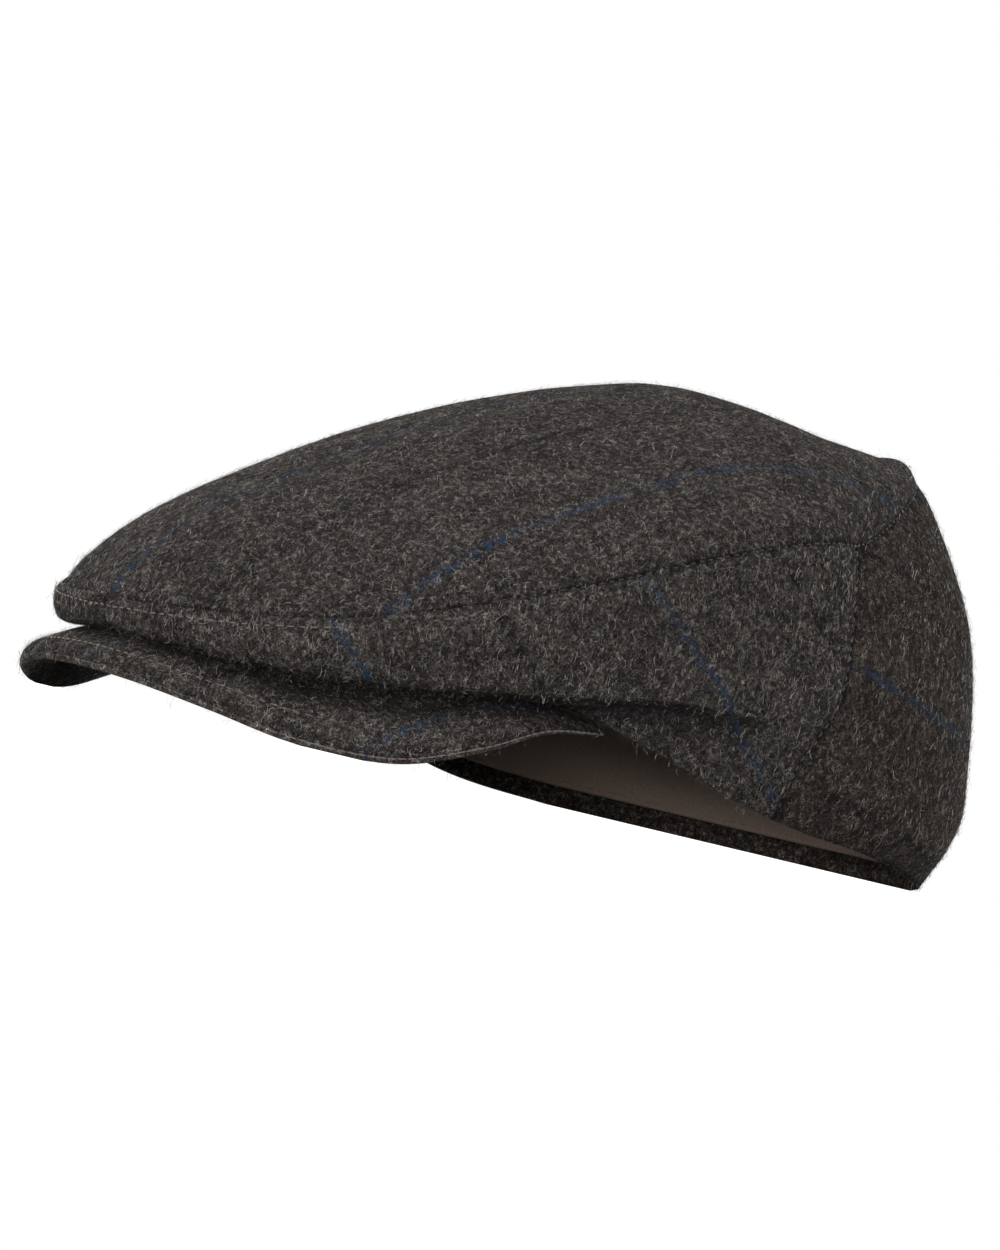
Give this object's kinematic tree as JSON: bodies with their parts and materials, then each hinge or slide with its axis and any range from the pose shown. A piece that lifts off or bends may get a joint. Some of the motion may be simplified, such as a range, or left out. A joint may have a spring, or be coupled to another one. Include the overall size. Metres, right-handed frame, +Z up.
{
  "type": "flat cap",
  "caption": "Wool tweed flat cap with a low sloping crown, a short stiff peak and a sweatband round the open head hollow.",
  "frame": {"origin": "on the floor that the cap rests on, under the middle of its box", "axes": "+Z up, the peak points to -Y, the wearer's left is +X"},
  "size_m": [0.188, 0.2604, 0.1141],
  "materials": {
    "tweed": "charcoal and brown wool tweed with sparse blue and dark stripes, brushed",
    "band_cloth": "smooth dark brown cotton"
  },
  "bodies": {
    "root": {"top_panel": "tweed", "side_panel_left": "tweed", "side_panel_right": "tweed", "back_panel": "tweed", "peak_top_cover": "tweed", "peak_under_cover": "tweed", "sweatband": "band_cloth"}
  },
  "joints": []
}
